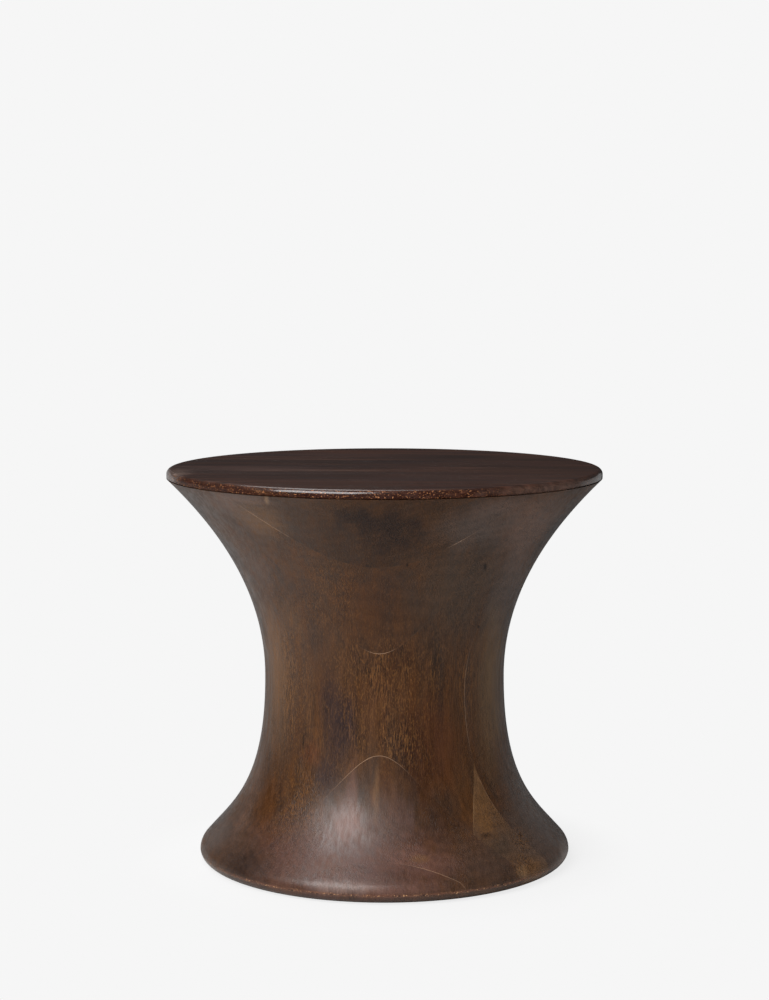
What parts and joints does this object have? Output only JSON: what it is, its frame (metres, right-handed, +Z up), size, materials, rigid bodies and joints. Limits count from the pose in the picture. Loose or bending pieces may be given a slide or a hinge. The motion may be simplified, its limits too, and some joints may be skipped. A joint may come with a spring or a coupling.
{
  "type": "swivel stool",
  "caption": "Turned hourglass stool of stacked wood boards, with a thin round seat that turns on a ball bearing plate hidden in the top of its pedestal.",
  "frame": {"origin": "on the floor, on the stool's axis", "axes": "+Z up along the turning axis, +X to the right and -Y towards the viewer of the picture; the glue planes of the pedestal are across Y"},
  "size_m": [0.502, 0.502, 0.457],
  "materials": {
    "pedestal_wood": "dark stain under satin lacquer",
    "seat_wood": "dark stain under satin lacquer",
    "plain_wood": "bare plywood",
    "plate_steel": "zinc plated",
    "screw_steel": "yellow zinc plated",
    "ball_steel": "polished and oiled",
    "cage_nylon": "moulded",
    "felt": "pressed felt"
  },
  "bodies": {
    "pedestal": {"back_block_4_lower": "pedestal_wood", "back_block_4_upper": "pedestal_wood", "back_block_5_lower": "pedestal_wood", "back_block_5_upper": "pedestal_wood", "back_block_6_upper": "pedestal_wood", "back_board_1_left": "pedestal_wood", "back_board_1_right": "pedestal_wood", "back_board_2": "pedestal_wood", "back_board_3": "pedestal_wood", "bearer_screws": "screw_steel", "core_board_left": "pedestal_wood", "core_board_right": "pedestal_wood", "floor_pad_1": "felt", "floor_pad_2": "felt", "floor_pad_3": "felt", "floor_pad_4": "felt", "front_block_4_lower": "pedestal_wood", "front_block_4_upper": "pedestal_wood", "front_block_5_lower": "pedestal_wood", "front_block_5_upper": "pedestal_wood", "front_block_6_upper": "pedestal_wood", "front_board_1_left": "pedestal_wood", "front_board_1_right": "pedestal_wood", "front_board_2": "pedestal_wood", "front_board_3": "pedestal_wood", "front_board_3_strip_lower": "pedestal_wood", "front_board_3_strip_upper": "pedestal_wood", "lower_plate_screws": "screw_steel", "rivet_washer": "cage_nylon", "swivel_bearer": "plain_wood", "swivel_lower_plate": "plate_steel", "swivel_rivet": "plate_steel"},
    "seat": {"seat_board_1": "seat_wood", "seat_board_2": "seat_wood", "seat_board_3": "seat_wood", "seat_board_4": "seat_wood", "seat_board_5": "seat_wood", "seat_board_6": "seat_wood", "seat_subtop": "plain_wood", "subtop_screws": "screw_steel", "swivel_upper_plate": "plate_steel", "upper_plate_screws": "screw_steel"},
    "ball_cage": {"ball_cage": "cage_nylon", "bearing_balls": "ball_steel"}
  },
  "joints": [
    {"name": "seat_swivel", "type": "hinge", "parent": "pedestal", "child": "seat", "pos_m": [0, 0, 0.447], "axis": [0, 0, 1], "continuous": true},
    {"name": "cage_turn", "type": "hinge", "parent": "pedestal", "child": "ball_cage", "pos_m": [0, 0, 0.4247], "axis": [0, 0, 1], "continuous": true}
  ],
  "couplings": [
    {"joint": "cage_turn", "follows": "seat_swivel", "ratio": 0.5}
  ]
}
